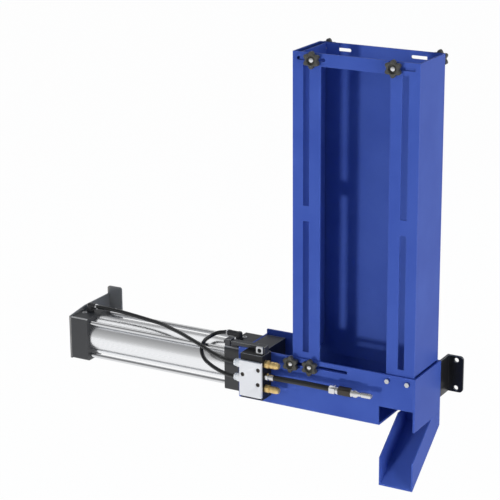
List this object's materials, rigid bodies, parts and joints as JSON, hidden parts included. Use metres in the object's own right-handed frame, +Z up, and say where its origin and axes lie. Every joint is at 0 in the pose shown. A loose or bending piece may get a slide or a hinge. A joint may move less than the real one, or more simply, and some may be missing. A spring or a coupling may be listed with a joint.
{
  "type": "pneumatic can crusher",
  "caption": "Wall-mounted pneumatic can crusher: a sheet-metal magazine over a crushing channel, an air cylinder with a ram, a side valve with air lines, and an exit chute.",
  "frame": {"origin": "centre of the right bracket's two screw holes, on the wall face", "axes": "+X along the cylinder towards the strike plate, +Y into the wall, +Z up"},
  "size_m": [0.578, 0.1415, 0.5799],
  "materials": {
    "blue_paint": "gloss powder coat",
    "black_paint": "satin black paint",
    "black_anodised": "black anodised",
    "steel": "zinc plated",
    "chrome": "hard chrome",
    "bright_aluminium": "polished",
    "seal_rubber": "moulded",
    "bronze": "bare",
    "dark_plastic": "moulded",
    "tube_plastic": "extruded",
    "hose_rubber": "smooth",
    "white_plastic": "moulded",
    "knob_plastic": "moulded"
  },
  "bodies": {
    "frame": {"base_channel": "blue_paint", "end_plate": "blue_paint", "strike_plate": "blue_paint", "exit_chute": "blue_paint", "magazine_front": "blue_paint", "magazine_back": "blue_paint", "magazine_left_side": "blue_paint", "magazine_right_side": "blue_paint", "right_can_guide": "blue_paint", "guide_bolts": "steel", "rear_cap": "black_anodised", "rod_cap": "black_anodised", "barrel": "bright_aluminium", "tie_rods": "chrome", "tie_rod_nuts": "steel", "cushion_screws": "steel", "rod_bush": "bronze", "valve_housing": "black_anodised", "valve_plate": "bright_aluminium", "valve_screws": "steel", "valve_fittings": "white_plastic", "exhaust_silencers": "bronze", "inlet_fitting": "steel", "cap_elbows": "dark_plastic", "elbow_collars": "steel", "trip_guide": "black_paint", "rear_air_tube": "tube_plastic", "front_air_tube": "tube_plastic", "whip_hose": "hose_rubber", "hose_collar": "steel", "plug_body": "steel", "plug_nose": "chrome", "right_bracket": "black_paint", "right_bracket_screws": "steel", "left_bracket": "black_paint", "left_bracket_screws": "steel"},
    "ram": {"piston": "bright_aluminium", "piston_seals": "seal_rubber", "piston_rod": "chrome", "ram_head": "black_paint"},
    "left_guide": {"left_can_guide": "blue_paint"},
    "trip": {"trip_bar": "black_paint", "trip_block": "black_paint", "trip_nut": "steel"},
    "spool": {"valve_spool": "steel"},
    "knob_low_outer": {"knob_low_outer": "knob_plastic", "stud_low_outer": "chrome"},
    "knob_low_inner": {"knob_low_inner": "knob_plastic", "stud_low_inner": "chrome"},
    "knob_top_left": {"knob_top_left": "knob_plastic", "stud_top_left": "chrome"},
    "knob_top_right": {"knob_top_right": "knob_plastic", "stud_top_right": "chrome"},
    "knob_back_left": {"knob_back_left": "knob_plastic", "stud_back_left": "chrome"},
    "knob_back_right": {"knob_back_right": "knob_plastic", "stud_back_right": "chrome"}
  },
  "joints": [
    {"name": "ram_slide", "type": "slide", "parent": "frame", "child": "ram", "axis": [1, 0, 0], "range_m": [0, 0.202]},
    {"name": "left_guide_slide", "type": "slide", "parent": "frame", "child": "left_guide", "axis": [1, 0, 0], "range_m": [0, 0.014]},
    {"name": "trip_slide", "type": "slide", "parent": "frame", "child": "trip", "axis": [1, 0, 0], "range_m": [-0.006, 0]},
    {"name": "spool_slide", "type": "slide", "parent": "frame", "child": "spool", "axis": [0, 0, 1], "range_m": [-0.003, 0], "stiffness_N_per_m": 300, "springref_m": 0.002},
    {"name": "knob_low_outer_spin", "type": "hinge", "parent": "left_guide", "child": "knob_low_outer", "pos_m": [-0.19305, -0.1128, 0.0185], "axis": [0, 1, 0], "continuous": true},
    {"name": "knob_low_inner_spin", "type": "hinge", "parent": "left_guide", "child": "knob_low_inner", "pos_m": [-0.16415, -0.1128, 0.0185], "axis": [0, 1, 0], "continuous": true},
    {"name": "knob_top_left_spin", "type": "hinge", "parent": "left_guide", "child": "knob_top_left", "pos_m": [-0.16415, -0.1095, 0.4365], "axis": [0, 1, 0], "continuous": true},
    {"name": "knob_top_right_spin", "type": "hinge", "parent": "frame", "child": "knob_top_right", "pos_m": [-0.0492, -0.1095, 0.4365], "axis": [0, 1, 0], "continuous": true},
    {"name": "knob_back_left_spin", "type": "hinge", "parent": "left_guide", "child": "knob_back_left", "pos_m": [-0.1845, -0.0327, 0.4365], "axis": [0, 1, 0], "continuous": true},
    {"name": "knob_back_right_spin", "type": "hinge", "parent": "frame", "child": "knob_back_right", "pos_m": [-0.0245, -0.0327, 0.4365], "axis": [0, 1, 0], "continuous": true}
  ],
  "couplings": [
    {"joint": "spool_slide", "follows": "trip_slide", "ratio": 0.5}
  ]
}
